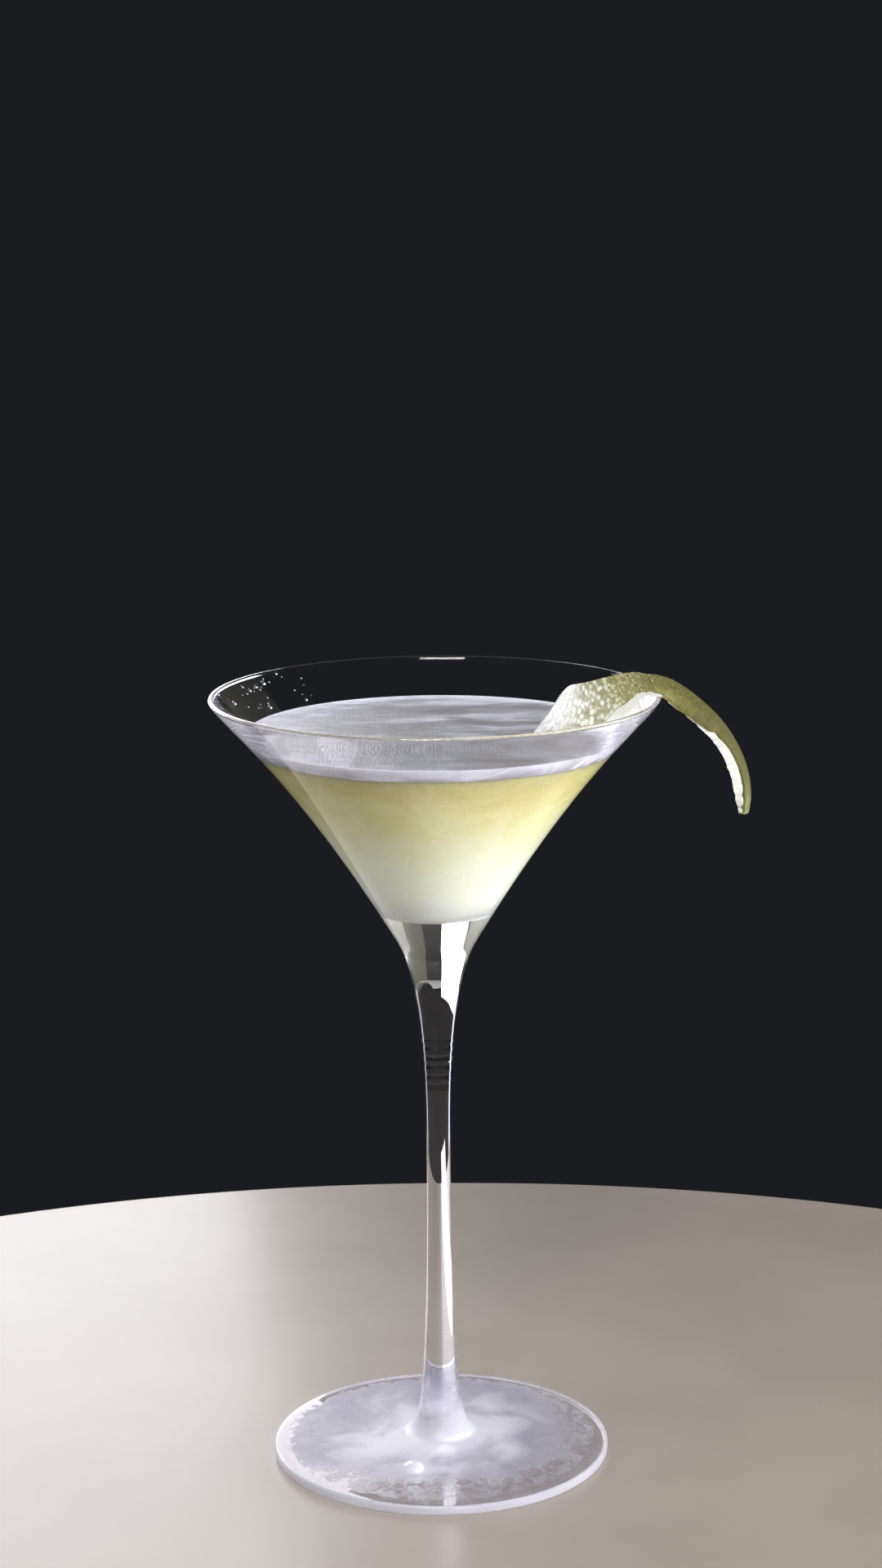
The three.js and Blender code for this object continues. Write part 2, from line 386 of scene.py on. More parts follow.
def misted_crystal(name, mist_over):
    """Clear glass under cold mist: tiny beads of water that whiten and blur it where they lie."""
    f = Finish(name)
    mist = mist_over(f)
    beads = f.cells(0.55 * MM)
    cloud = f.grain(6 * MM, 4, rough=0.6, warp=0.5)
    thick = f.sums("MULTIPLY", mist, f.between(cloud, 0.3, 0.7, 0.8, 1.0))
    # From here the mist's colour carries painted light: lavender-white round the middle as a painted glow,
    # dark grey-lavender further out as painted shade, and white again past 38 mm as a painted highlight on
    # the edge.
    drift = f.grain(14 * MM, 3, warp=0.8)
    radius = f.from_axis()
    spread = f.sums("ADD", radius, f.between(drift, 0.3, 0.7, -7 * MM, 7 * MM))
    past_middle = f.between(spread, 9 * MM, 30 * MM)
    short_of_rim = f.between(radius, 37 * MM, 38 * MM, 1.0, 0.0)
    outer = f.sums("MULTIPLY", past_middle, short_of_rim)
    # Painted light and shade: the pale colour near the pad and at the edge, the dark colour between.
    white = f.blend(outer, (0.86, 0.86, 0.95, 1), (0.38, 0.37, 0.46, 1))
    body = f.add("BsdfPrincipled", {
        "Base Color": f.blend(thick, CRYSTAL_TINT, white),
        "Roughness": f.between(thick, 0, 1, 0.01, 0.42),
        "IOR": 1.5,
        "Transmission Weight": f.between(thick, 0, 1, 1.0, 0.35),
        "Normal": f.bump(f.sums("MULTIPLY", beads, thick), 0.08 * MM, 0.35),
    }).outputs[0]
    return f.end(f.through(body, (0.62, 0.61, 0.66, 1)))


def foot_mist(f):
    """Mist on the foot's top: clear along the edge, and melting away in patches front and right."""
    radius = f.from_axis()
    x, y, z = f.axes(f.place())
    ragged = f.grain(3.4 * MM, 7, rough=0.7, warp=0.8)
    broad = f.grain(15 * MM, 3)
    edge = f.sums("ADD", radius, f.between(ragged, 0.3, 0.7, -1.4 * MM, 1.4 * MM))
    inside = f.between(edge, 35.6 * MM, 36.6 * MM, 1.0, 0.0)
    front = f.between(y, -6 * MM, -34 * MM, 0.0, 0.8)
    right = f.between(x, 14 * MM, 36 * MM, 0.0, 0.55)
    near_edge = f.between(radius, 16 * MM, 35 * MM)
    worn = f.sums("MULTIPLY", f.sums("ADD", front, right), near_edge)
    tatter = f.sums("MULTIPLY", f.between(ragged, 0.46, 0.56), f.between(worn, 0.1, 0.7))
    thin = f.sums("MULTIPLY", f.between(worn, 0.0, 0.9, 0.0, 0.6), f.between(broad, 0.35, 0.65, 0.6, 1.0))
    whole = f.sums("SUBTRACT", 1.0, thin)
    left = f.sums("SUBTRACT", whole, f.sums("MULTIPLY", tatter, 0.6), clamp=True)
    top = f.between(z, 1.9 * MM, 2.3 * MM)
    on_top = f.sums("MULTIPLY", f.sums("MULTIPLY", inside, left), top)
    # A band of white mist on the outer edge: a painted highlight for the bright glint of the clear edge.
    rim = f.between(radius, 39.1 * MM, 39.6 * MM, 0.0, 0.8)
    return f.sums("MAXIMUM", on_top, rim)


def pad_mist(f):
    """Mist that climbs the lowest part of the stem."""
    z = f.axes(f.place())[2]
    drift = f.grain(5 * MM, 2)
    level = f.sums("ADD", z, f.between(drift, 0.3, 0.7, -1 * MM, 1 * MM))
    return f.between(level, FOOT_RISE + 1 * MM, FOOT_RISE + 13 * MM, 1.0, 0.0)


def cloudy_drink():
    """Citrus and egg white, thick with pulp: pale low down as a painted glow, darker yellow high up as
    painted shade.
    """
    f = Finish("cloudy_drink")
    z = f.axes(f.place())[2]
    swirl = f.grain(16 * MM, 3, stretch=(1, 1, 1.6), warp=1.2)
    level = f.sums("ADD", z, f.between(swirl, 0.3, 0.7, -3.5 * MM, 3.5 * MM))
    share = f.add("MapRange", {"Value": level, 1: WELL_HEIGHT, 2: DRINK_TOP}).outputs[0]
    # Painted light: pale grey-white low down for the glow of light through the thin drink, darkening to
    # olive yellow at the top as painted shade.
    colour = f.steps(share, (
        (0.0, (0.74, 0.77, 0.70)),
        (0.35, (0.75, 0.77, 0.61)),
        (0.7, (0.70, 0.68, 0.39)),
        (0.93, (0.60, 0.56, 0.25)),
        (1.0, (0.56, 0.53, 0.26)),
    ))
    pulp = f.grain(1.1 * MM, 4)
    body = f.add("BsdfPrincipled", {
        "Base Color": f.blend(f.between(pulp, 0.45, 0.9, 0.0, 0.25), colour, (0.92, 0.92, 0.78, 1)),
        "Roughness": 0.3,
        "IOR": 1.34,
        "Subsurface Weight": 1.0,
        "Subsurface Radius": (1.0, 0.95, 0.6),
        "Subsurface Scale": 6 * MM,
        "Specular IOR Level": 0.1,
    }).outputs[0]
    return f.end(body)


def fine_foam():
    """A shaken drink's head: close bubbles, drawn into streaks by the pour."""
    f = Finish("fine_foam")
    radius = f.from_axis()
    streaks = f.grain(9 * MM, 6, stretch=(0.4, 1.6, 1), turn=(0, 0, 0.12), warp=0.9)
    cloud = f.grain(20 * MM, 3, warp=0.8)
    drawn = f.between(streaks, 0.42, 0.64, -0.12, 0.5)
    heaped = f.between(cloud, 0.35, 0.7, 0.0, 0.45)
    bright = f.sums("ADD", drawn, heaped)
    # A brighter band where the foam meets the wall: a painted highlight along the meniscus.
    painted_meniscus_highlight = f.between(radius, 39 * MM, 42.5 * MM, 0.0, 0.7)
    bubbles = f.cells(0.45 * MM)
    colour = f.steps(f.sums("ADD", bright, painted_meniscus_highlight, clamp=True), (
        (0.0, (0.34, 0.34, 0.35)),
        (0.45, (0.44, 0.44, 0.48)),
        (1.0, (0.74, 0.74, 0.82)),
    ))
    skin = f.sums("ADD", f.sums("MULTIPLY", bubbles, 0.5), streaks)
    body = f.add("BsdfPrincipled", {
        "Base Color": colour,
        "Roughness": f.between(streaks, 0.3, 0.7, 0.28, 0.5),
        "Subsurface Weight": 0.6,
        "Subsurface Radius": (1.0, 1.0, 1.0),
        "Subsurface Scale": 1.2 * MM,
        "Normal": f.bump(skin, 0.18 * MM, 0.7),
    }).outputs[0]
    return f.end(body)


def lemon_zest():
    """Waxy citrus skin with oil glands: a painted highlight whitens its cut end, painted shade darkens the
    middle, greener at the tip.
    """
    f = Finish("lemon_zest")
    unwrapped = f.add("TexCoord").outputs["UV"]
    run = f.axes(unwrapped)
    glands = f.cells(1.0, stretch=GLAND_COUNT, vector=unwrapped)
    mottle = f.grain(4 * MM, 4)
    place = f.sums("ADD", run[0], f.between(mottle, 0.3, 0.7, -0.04, 0.04))
    # The colour runs along the strip as painted light: a near-white painted highlight at the cut end,
    # through yellow, into dark olive painted shade along the middle, a little lighter and greener at the
    # tip.
    colour = f.steps(place, (
        (0.05, (0.98, 0.98, 0.97)),
        (0.14, (0.92, 0.93, 0.80)),
        (0.26, (0.64, 0.62, 0.34)),
        (0.36, (0.36, 0.335, 0.11)),
        (0.48, (0.17, 0.16, 0.05)),
        (0.60, (0.125, 0.12, 0.045)),
        (0.85, (0.12, 0.118, 0.048)),
        (1.0, (0.26, 0.27, 0.12)),
    ))
    # The skin between the glands is darkened towards dark olive: painted shade in the hollows, strongest
    # inside the bowl.
    gaps = f.between(glands, 0.25, 0.75)
    pitted = f.between(run[0], 0.32, 0.46, 0.8, 0.16)
    shaded = f.blend(f.sums("MULTIPLY", gaps, pitted), colour, (0.26, 0.25, 0.08, 1))
    # At the cut end the darkening between glands is left off, so the painted highlight there stays clean.
    end = f.between(run[0], 0.05, 0.13)
    body = f.add("BsdfPrincipled", {
        "Base Color": f.blend(end, colour, shaded),
        "Roughness": f.between(mottle, 0.3, 0.7, 0.34, 0.5),
        "Subsurface Weight": 0.12,
        "Subsurface Radius": (1.0, 0.8, 0.2),
        "Subsurface Scale": 0.8 * MM,
        "Normal": f.bump(f.sums("MULTIPLY", gaps, pitted), -0.35 * MM, 1.0),
    }).outputs[0]
    return f.end(body)


def soft_pith():
    """The white under the skin: spongy, with a faint green cast."""
    f = Finish("soft_pith")
    sponge = f.grain(0.8 * MM, 5, rough=0.65)
    cloud = f.grain(5 * MM, 3)
    colour = f.blend(f.between(cloud, 0.4, 0.7, 0.0, 0.4), (0.84, 0.85, 0.79, 1), (0.74, 0.77, 0.66, 1))
    body = f.add("BsdfPrincipled", {
        "Base Color": colour,
        "Roughness": f.between(sponge, 0.3, 0.7, 0.7, 0.95),
        "Subsurface Weight": 0.4,
        "Subsurface Radius": (1.0, 1.0, 0.8),
        "Subsurface Scale": 1.5 * MM,
        "Normal": f.bump(sponge, 0.2 * MM, 0.45),
    }).outputs[0]
    return f.end(body)


def water():
    """Clear drops left by a rinse."""
    f = Finish("water")
    dust = f.grain(0.6 * MM, 2)
    body = f.add("BsdfPrincipled", {
        "Base Color": (0.98, 0.98, 1.0, 1),
        "Roughness": f.between(dust, 0.3, 0.7, 0.0, 0.04),
        "IOR": 1.33,
        "Transmission Weight": 1.0,
    }).outputs[0]
    return f.end(f.through(body, (1, 1, 1, 1)))


def pale_tabletop():
    """A plain warm board under a soft sheen."""
    f = Finish("pale_tabletop")
    soft = f.grain(60 * MM, 3)
    colour = f.blend(f.between(soft, 0.3, 0.7), (0.38, 0.33, 0.275, 1), (0.42, 0.37, 0.31, 1))
    body = f.add("BsdfPrincipled", {
        "Base Color": colour,
        "Roughness": 0.55,
        "Coat Weight": 0.4,
        "Coat Roughness": 0.25,
    }).outputs[0]
    return f.end(body)


# ------------------------------------------------------------------ camera and light

def set_camera():
    """A long lens held a little above the rim, looking down at the glass."""
    deselect()
    bpy.ops.object.camera_add(location=CAMERA_PLACE, rotation=(CAMERA_TILT, 0, 0))
    camera = bpy.context.object
    camera.rotation_euler.rotate_axis("Z", CAMERA_ROLL)
    camera.data.lens = CAMERA_LENS
    camera.data.sensor_width = SENSOR_WIDTH
    bpy.context.scene.camera = camera


def softbox(name, place, aim, size, power, colour, mirrored=True):
    """A soft lamp. One that isn't mirrored lights surfaces without showing as a highlight in them."""
    deselect()
    way = Vector(aim) - Vector(place)
    turn = way.to_track_quat("-Z", "Y").to_euler()
    bpy.ops.object.light_add(type="AREA", location=place, rotation=turn)
    lamp = bpy.context.object
    lamp.name = name
    lamp.data.shape = "RECTANGLE"
    lamp.data.size, lamp.data.size_y = size
    lamp.data.energy = power
    lamp.data.color = colour
    lamp.visible_camera = False
    lamp.visible_glossy = mirrored
    lamp.visible_transmission = mirrored


def light_studio():
    """Panels behind for the glass's edges and boxes in front for its surfaces, in metres and watts."""
    bowl_middle = (0, 0, 0.15)
    softbox("back_left_panel", (-0.34, 0.60, 0.32), bowl_middle, (0.62, 0.57), 5.0, (0.94, 0.93, 1.0))
    softbox("back_right_panel", (0.42, 0.57, 0.36), bowl_middle, (0.62, 0.54), 0.11, (1.0, 0.97, 0.72))
    softbox(
        "right_low_box", (0.62, -0.18, 0.05), (0, 0, 0.14), (0.35, 0.25), 7.0, (0.97, 0.96, 1.0),
        mirrored=False,
    )
    softbox(
        "left_fill", (-0.52, -0.34, 0.26), bowl_middle, (0.3, 0.3), 1.2, (1.0, 0.99, 0.97),
        mirrored=False,
    )
    softbox("high_front_box", (-0.06, -0.62, 0.76), (0.04, 0, 0.18), (0.3, 0.3), 5.2, (1.0, 0.99, 1.0))
    softbox("left_edge_strip", (-0.50, 0.34, -0.01), (0, 0, 0.09), (0.14, 0.30), 0.24, (0.80, 0.75, 1.0))
    softbox("right_edge_strip", (0.50, 0.34, -0.01), (0, 0, 0.09), (0.10, 0.30), 0.07, (0.90, 0.85, 1.0))
    softbox("low_left_glow", (-0.06, 0.125, 0.004), (-0.06, 0.125, 1), (0.06, 0.17), 0.04, (0.95, 0.92, 1.0))
    softbox(
        "top_fill", (0.2, -0.3, 1.1), (0, 0, 0.1), (0.9, 0.9), 0.3, (1.0, 0.98, 0.97),
        mirrored=False,
    )
    world = bpy.data.worlds.new("dim_room")
    world.use_nodes = True
    world.node_tree.nodes["Background"].inputs["Color"].default_value = (0.011, 0.0115, 0.014, 1)
    bpy.context.scene.world = world


def lay_tabletop():
    """A round board, brought forward so that its far edge passes close behind the stem."""
    deselect()
    middle = (0, -TABLE_FORWARD, -TABLE_THICKNESS / 2 - TABLE_CLEARANCE)
    bpy.ops.mesh.primitive_cylinder_add(
        vertices=256, radius=TABLE_RADIUS, depth=TABLE_THICKNESS, location=middle
    )
    top = named("tabletop")
    bpy.ops.object.transform_apply(location=True, rotation=True, scale=True)
    apply_modifier(top, "BEVEL", width=TABLE_EDGE, segments=4)
    bpy.ops.object.shade_smooth_by_angle(angle=SMOOTH_UNDER)
    top.data.materials.append(pale_tabletop())


# ------------------------------------------------------------------ bowl

NECK_END = spot(NECK_RADIUS, WELL_HEIGHT - NECK_TURN)
RIM = spot(RIM_RADIUS, HEIGHT)
FLANK_PULL = spot(mix(NECK_END.x, RIM.x, FLANK_FULLNESS), mix(NECK_END.y, RIM.y, FLANK_LIFT))
FLANK = (NECK_END, FLANK_PULL, spot(RIM_RADIUS - LIP_LEAN, HEIGHT - LIP_RISE), RIM)
JOINT = spot(JOINT_RADIUS, JOINT_HEIGHT)
JOINT_WAY = spot(JOINT_TAPER, 1)


def inside_wall(t):
    """The flank set in along its own normal by the wall's thickness there."""
    way = cubic_way(FLANK, t)
    thickness = mix(LOWER_WALL, RIM_WALL, t)
    outside = cubic(FLANK, t)
    return spot(outside.x - way.y * thickness, outside.y + way.x * thickness)


def share_at(axis, value):
    """The share of the flank at which the inside wall reaches a radius (axis 0) or a height (1)."""
    low, high = 0.0, 1.0
    for _ in range(HALVINGS):
        middle = (low + high) / 2
        if inside_wall(middle)[axis] < value:
            low = middle
        else:
            high = middle
    return (low + high) / 2


def inside_height(radius):
    return inside_wall(share_at(0, radius)).y


def inside_radius(height):
    return inside_wall(share_at(1, height)).x


def inside_outline(top, steps):
    """The inside of the bowl from its bottom on the axis up to a height."""
    start = share_at(1, WELL_HEIGHT + WELL_RISE)
    wall_foot = inside_wall(start)
    way = inside_wall(start + 0.01) - wall_foot
    pull = spot(wall_foot.x - WELL_RISE * way.x / way.y, WELL_HEIGHT)
    bottom = spot(0, WELL_HEIGHT)
    found = []
    for i in range(WELL_STEPS):
        t = i / WELL_STEPS
        found.append(bottom * (1 - t) ** 2 + pull * (2 * t * (1 - t)) + wall_foot * t ** 2)
    end = share_at(1, top)
    found.extend(inside_wall(mix(start, end, i / steps)) for i in range(steps + 1))
    return found


def make_bowl(crystal, fused):
    """The blown cone, its fire-polished lip and the solid neck under it."""
    neck = along(sweep(JOINT, JOINT_WAY, 0.6, NECK_END, cubic_way(FLANK, 0), 0.18), NECK_STEPS)
    inside = inside_outline(LIP_BOTTOM, WALL_STEPS)
    shoulder = next(t / 1000 for t in range(1001) if cubic(FLANK, t / 1000).y > LIP_BOTTOM)
    outside = [cubic(FLANK, shoulder * i / WALL_STEPS) for i in range(1, WALL_STEPS + 1)]
    lip_out, lip_in = outside[-1], inside[-1]
    lip_middle = (lip_out + lip_in) / 2
    lip = []
    for i in range(1, LIP_STEPS):
        angle = math.pi * i / LIP_STEPS
        reach = (lip_out.x - lip_in.x) / 2 * math.cos(angle)
        lip.append(spot(lip_middle.x + reach, HEIGHT - LIP_ROUND * (1 - math.sin(angle))))
    outline = [spot(0, JOINT_HEIGHT), *neck, *outside, *lip, *reversed(inside)]
    bowl = turned("bowl_glass", outline)
    bowl.data.materials.append(crystal)
    cap_with(bowl, fused, JOINT_HEIGHT)
    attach(bowl, "glass")
    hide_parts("bowl")


# ------------------------------------------------------------------ stem and foot

def rippled(place):
    """The small rings left where the hot stem was pulled, just under the joint."""
    off = (place.y - RIPPLE_HEIGHT) / RIPPLE_REACH
    fade = max(0.0, 1 - off * off)
    turns = place.y / RIPPLE_PITCH
    rings = math.sin(turns * math.tau) + FINE_RIPPLE * math.sin(turns * FINE_RIPPLE_TURN)
    return spot(place.x + RIPPLE * fade * rings, place.y)


def make_stem(misted, fused):
    """The drawn stem: thinnest at its waist, and spread into a pad on the foot."""
    down = spot(0, -1)
    waist = spot(WAIST_RADIUS, WAIST_HEIGHT)
    flare = spot(FLARE_RADIUS, FLARE_HEIGHT)
    flare_way = spot(FLARE_TAPER, -1)
    pad = spot(PAD_RADIUS, FOOT_RISE)
    upper = along(sweep(JOINT, -JOINT_WAY, 0.3, waist, down, 0.36), STEM_STEPS)
    lower = along(sweep(waist, down, 0.5, flare, flare_way, 0.22), FLARE_STEPS)
    spread = along(sweep(flare, flare_way, 0.35, pad, spot(1, -0.06), 0.2), PAD_STEPS)
    side = [rippled(p) for p in upper] + lower[1:] + spread[1:]
    outline = [spot(0, JOINT_HEIGHT), *side, spot(0, FOOT_RISE)]
    stem = turned("stem_glass", outline)
    stem.data.materials.append(misted)
    cap_with(stem, fused, JOINT_HEIGHT)
    cap_with(stem, fused, FOOT_RISE)
    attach(stem, "glass")
    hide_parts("stem")


def rounded(corner, start, end):
    """A quarter round between two points, drawn towards their corner."""
    found = []
    for i in range(ROUND_STEPS + 1):
        t = i / ROUND_STEPS
        found.append(start * (1 - t) ** 2 + corner * (2 * t * (1 - t)) + end * t ** 2)
    return found


FOOT_DOME = sweep(
    spot(FOOT_SHOULDER, FOOT_EDGE), spot(-1, 0.03), 0.35,
    spot(PAD_RADIUS, FOOT_RISE), spot(-1, 0.1), 0.3,
)


def foot_height(radius):
    """How high the foot's top is at a distance from the axis."""
    return min(along(FOOT_DOME, DOME_SEARCH_STEPS), key=lambda p: abs(p.x - radius)).y


def make_foot(misted, fused):
    """The pressed disc: domed on top, and slightly kicked up underneath."""
    kick = sweep(spot(0, KICK_RISE), spot(1, 0), 0.4, spot(KICK_RADIUS, 0), spot(1, -0.02), 0.3)
    bottom = rounded(spot(FOOT_RADIUS, 0), spot(FOOT_SHOULDER, 0), spot(FOOT_RADIUS, FOOT_ROUND))
    edge_top = spot(FOOT_RADIUS, FOOT_EDGE - FOOT_ROUND)
    top = rounded(spot(FOOT_RADIUS, FOOT_EDGE), edge_top, spot(FOOT_SHOULDER, FOOT_EDGE))
    dome = along(FOOT_DOME, FOOT_STEPS)
    outline = [*along(kick, KICK_STEPS), *bottom, *top, *dome[1:], spot(0, FOOT_RISE)]
    foot = turned("foot_glass", outline)
    foot.data.materials.append(misted)
    foot.data.materials.append(fused)
    for face in foot.data.polygons:
        flat = math.hypot(face.center.x, face.center.y)
        if flat < PAD_RADIUS and face.center.z > FOOT_RISE - NEARLY:
            face.material_index = 1
    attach(foot, "glass")
    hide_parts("foot")


# ------------------------------------------------------------------ drink and foam

def make_drink(finish):
    """The liquid wets the wall, so it reaches a little way into it."""
    wetted = [spot(p.x + SOAK, p.y - SOAK / 2) for p in inside_outline(DRINK_TOP, DRINK_STEPS)]
    wetted[0].x = 0
    drink = turned("drink_body", [*wetted, spot(0, DRINK_TOP)])
    drink.data.materials.append(finish)
    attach(drink, "glass")
    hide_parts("drink")


def make_foam(finish):
    """The foam clings to the wall above its own level and hangs unevenly into the drink below."""
    low = DRINK_TOP - FOAM_SAG
    side = []
    for i in range(FOAM_SIDE_STEPS + 1):
        height = mix(low, FOAM_TOP + MENISCUS, i / FOAM_SIDE_STEPS)
        side.append(spot(inside_radius(height) + FOAM_SOAK, height))
    reach = side[-1].x
    top = []
    for i in range(1, FOAM_TOP_STEPS):
        radius = mix(reach, 0, i / FOAM_TOP_STEPS)
        cling = math.exp(-(reach - radius) / MENISCUS_REACH)
        top.append(spot(radius, FOAM_TOP + (MENISCUS - FOAM_DIP) * cling - FOAM_DIP))
    outline = [spot(0, low), spot(side[0].x - FOAM_LAP, low), *side, *top, spot(0, FOAM_TOP - FOAM_DIP)]
    foam = turned("foam_head", outline, steps=FOAM_TURN_STEPS)
    for vertex in foam.data.vertices:
        place = vertex.co
        radius = math.hypot(place.x, place.y)
        if place.z > FOAM_TOP - 0.3 * MM and radius < reach - 0.5 * MM:
            across, over = FOAM_FLOW_SCALE
            place.z += FOAM_FLOW * noise.noise(Vector((place.x * across, place.y * over, 0)))
        elif place.z < DRINK_TOP:
            angle = math.atan2(place.y, place.x)
            round_it = Vector((FOAM_HANG_SCALE * math.cos(angle), FOAM_HANG_SCALE * math.sin(angle), 0))
            place.z += FOAM_HANG * noise.noise(round_it)
    foam.data.materials.append(finish)
    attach(foam, "glass")
    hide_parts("foam")


# ------------------------------------------------------------------ twist of peel

def station(out, side, roll, width, ahead=0, ledge=0, bare=0, curl=0, flesh=1, **height):
    """A place on the middle line of the zest's outer face, measured in millimetres and degrees.

    It is so far out from the rim and to the side. Its height is a share of the way that its near
    edge dips to the foam, or so far above its rest on the rim. There the strip is rolled, has a
    width, and its far edge runs ahead of the near one. The pith stands out past the near edge by a
    ledge, the zest is pared back to leave it bare, the near edge curls under, and flesh is the
    share of the pith's thickness that is left.
    """
    return dict(
        out=out, side=side, roll=roll, width=width, ahead=ahead,
        ledge=ledge, bare=bare, curl=curl, flesh=flesh, **height,
    )


STATIONS = (
    station(out=-27.2, side=-3.0, dip=1.00, roll=78, width=10.7, ahead=5, ledge=0.3),
    station(out=-22.0, side=-2.9, dip=1.00, roll=77, width=10.9, ahead=3, ledge=0.6),
    station(out=-16.0, side=-2.5, dip=0.87, roll=67, width=10.8, ahead=1, ledge=1.0, bare=0.8),
    station(out=-10.3, side=-2.2, dip=0.50, roll=47, width=10.3, ledge=1.6, bare=2.0),
    station(out=-6.4, side=-2.1, dip=0.14, roll=27, width=9.8, ledge=1.2, bare=2.1),
    station(out=-3.3, side=-2.2, dip=0.00, roll=16, width=9.4, ledge=0.4, bare=1.4, curl=0.1, flesh=0.9),
    station(out=1.2, side=-2.4, above=0.8, roll=12, width=9.3, bare=0.2, curl=1.0, flesh=0.3),
    station(out=5.4, side=-2.5, above=-1.6, roll=12, width=9.2, ledge=-0.2, curl=1.6, flesh=0.1),
    station(out=9.3, side=-2.4, above=-4.7, roll=12, width=9.0, ledge=-0.1, curl=1.5, flesh=0.2),
    station(out=13.0, side=-2.1, above=-8.4, roll=12, width=8.8, ledge=0.2, bare=0.2, curl=0.6, flesh=0.5),
    station(out=16.1, side=-1.9, above=-12.7, roll=12, width=8.4, ledge=0.4, bare=0.4, flesh=0.75),
    station(out=18.5, side=-1.7, above=-17.6, roll=13, width=7.8, ledge=0.5, bare=0.5, flesh=0.85),
    station(out=19.7, side=-1.6, above=-22.3, roll=16, width=6.8, ledge=0.5, bare=0.3, flesh=0.8),
    station(out=20.0, side=-1.3, above=-26.7, roll=20, width=5.2, ledge=0.2, bare=0.1, flesh=0.6),
    station(out=19.7, side=-1.0, above=-29.6, roll=22, width=3.5, flesh=0.2),
)
REST_HEIGHT = HEIGHT + REST_GAP + PRESSED_PITH + BOND + ZEST_THICKNESS


def station_place(stop):
    x = RIM_RADIUS + stop["out"] * MM
    y = stop["side"] * MM
    if "above" in stop:
        return Vector((x, y, REST_HEIGHT + stop["above"] * MM))
    near_edge = mix(REST_HEIGHT, FOAM_TOP + REST_GAP, stop["dip"])
    half_rise = math.sin(math.radians(stop["roll"])) * stop["width"] / 2 * MM
    return Vector((x, y, near_edge + half_rise))


PLACES = [station_place(stop) for stop in STATIONS]


def run_point(t):
    """A point of the smooth line through the stations, spaced by the roots of their distances."""
    place = min(max(t, 0.0), 1.0) * (len(PLACES) - 1)
    first = min(int(place), len(PLACES) - 2)
    share = place - first
    b, c = PLACES[first], PLACES[first + 1]
    a = PLACES[first - 1] if first > 0 else 2 * b - c
    d = PLACES[first + 2] if first + 2 < len(PLACES) else 2 * c - b
    before, here, after = (math.sqrt((q - p).length) for p, q in ((a, b), (b, c), (c, d)))
    leave = ((b - a) / before - (c - a) / (before + here) + (c - b) / here) * here
    reach = ((c - b) / here - (d - b) / (here + after) + (d - c) / after) * here
    s = share
    return (
        b * (2 * s ** 3 - 3 * s * s + 1) + leave * (s ** 3 - 2 * s * s + s)
        + c * (3 * s * s - 2 * s ** 3) + reach * (s ** 3 - s * s)
    )


def strip_section(t):
    """The strip's middle, its way along, its way across, its outward normal and its measures."""
    place = t * (len(STATIONS) - 1)
    first = min(int(place), len(STATIONS) - 2)

    def at(key):
        return mix(STATIONS[first][key], STATIONS[first + 1][key], place - first)

    ahead = run_point(t + 0.001) - run_point(t - 0.001)
    ahead.y = 0
    ahead.normalize()
    up = Vector((-ahead.z, 0, ahead.x))
    sideways = Vector((0, 1, 0))
    roll = math.radians(at("roll"))
    return dict(
        t=t,
        middle=run_point(t),
        along=ahead,
        across=sideways * math.cos(roll) + up * math.sin(roll),
        normal=up * math.cos(roll) - sideways * math.sin(roll),
        width=at("width") * MM,
        ahead=at("ahead") * MM,
        ledge=at("ledge") * MM,
        bare=at("bare") * MM,
        curl=at("curl") * MM,
        flesh=at("flesh"),
    )


def strip_point(section, share, depth, ledge):
    """A point of the strip, whose inner end has its far corner cut round."""
    cut = max(0.0, 1 - section["t"] / END_ROUND)
    near = -section["width"] / 2 - ledge
    far = section["width"] * (0.5 - END_CUT * cut ** 2.6)
    reach = mix(near, far, share)
    crown = CROWN * (1 - (2 * share - 1) ** 2) - section["curl"] * max(0.0, 1 - share * 5) ** 2
    return (
        section["middle"]
        + section["across"] * reach
        + section["along"] * section["ahead"] * (share - 0.5)
        + section["normal"] * (crown - depth)
    )


def floated(place):
    """Inside the bowl the peel goes no lower than the foam."""
    if math.hypot(place.x, place.y) < RIM_RADIUS:
        place.z = max(place.z, FOAM_TOP + REST_GAP)
    return place


def pressed(place):
    """Soft pith is pressed flat where it lies over the rim, and clears the wall inside it."""
    radius = math.hypot(place.x, place.y)
    if radius > RIM_RADIUS + RIM_PRESS_OUTSIDE:
        return place
    over_rim = radius > RIM_RADIUS - RIM_WALL - RIM_PRESS_INSIDE
    place.z = max(place.z, (HEIGHT if over_rim else inside_height(radius)) + REST_GAP)
    return floated(place)


def strip_layer(name, outer_face, inner_face):
    """A grid as long and as wide as the strip, given its thickness and laid along the run."""
    deselect()
    bpy.ops.mesh.primitive_grid_add(
        x_subdivisions=PEEL_RUN_STEPS, y_subdivisions=PEEL_CROSS_STEPS, size=1, calc_uvs=True
    )
    layer = named(name)
    flat = [(vertex.co.x + 0.5, vertex.co.y + 0.5) for vertex in layer.data.vertices]
    apply_modifier(layer, "SOLIDIFY", thickness=0.1, offset=-1)
    sections = {}
    for number, vertex in enumerate(layer.data.vertices):
        t, share = flat[number % len(flat)]
        key = round(t * PEEL_RUN_STEPS)
        if key not in sections:
            sections[key] = strip_section(t)
        face = outer_face if number < len(flat) else inner_face
        vertex.co = face(sections[key], share)
    deselect()
    layer.select_set(True)
    bpy.context.view_layer.objects.active = layer
    bpy.ops.object.shade_smooth_by_angle(angle=PEEL_SMOOTH_UNDER)
    return layer


def wave(section, pitch, seed):
    """A smooth unevenness along the run, between -1 and 1."""
    return noise.noise(Vector((section["t"] * PEEL_LENGTH / pitch, 0, seed)))


def gland_relief(section, share):
    """Oil glands stand up as close round blisters, drawn out across the strip."""
    place = Vector((section["t"] * GLAND_COUNT[0], share * GLAND_COUNT[1], 0))
    return 1 - min(1.0, noise.voronoi(place)[0][0] / GLAND_REACH) ** 2


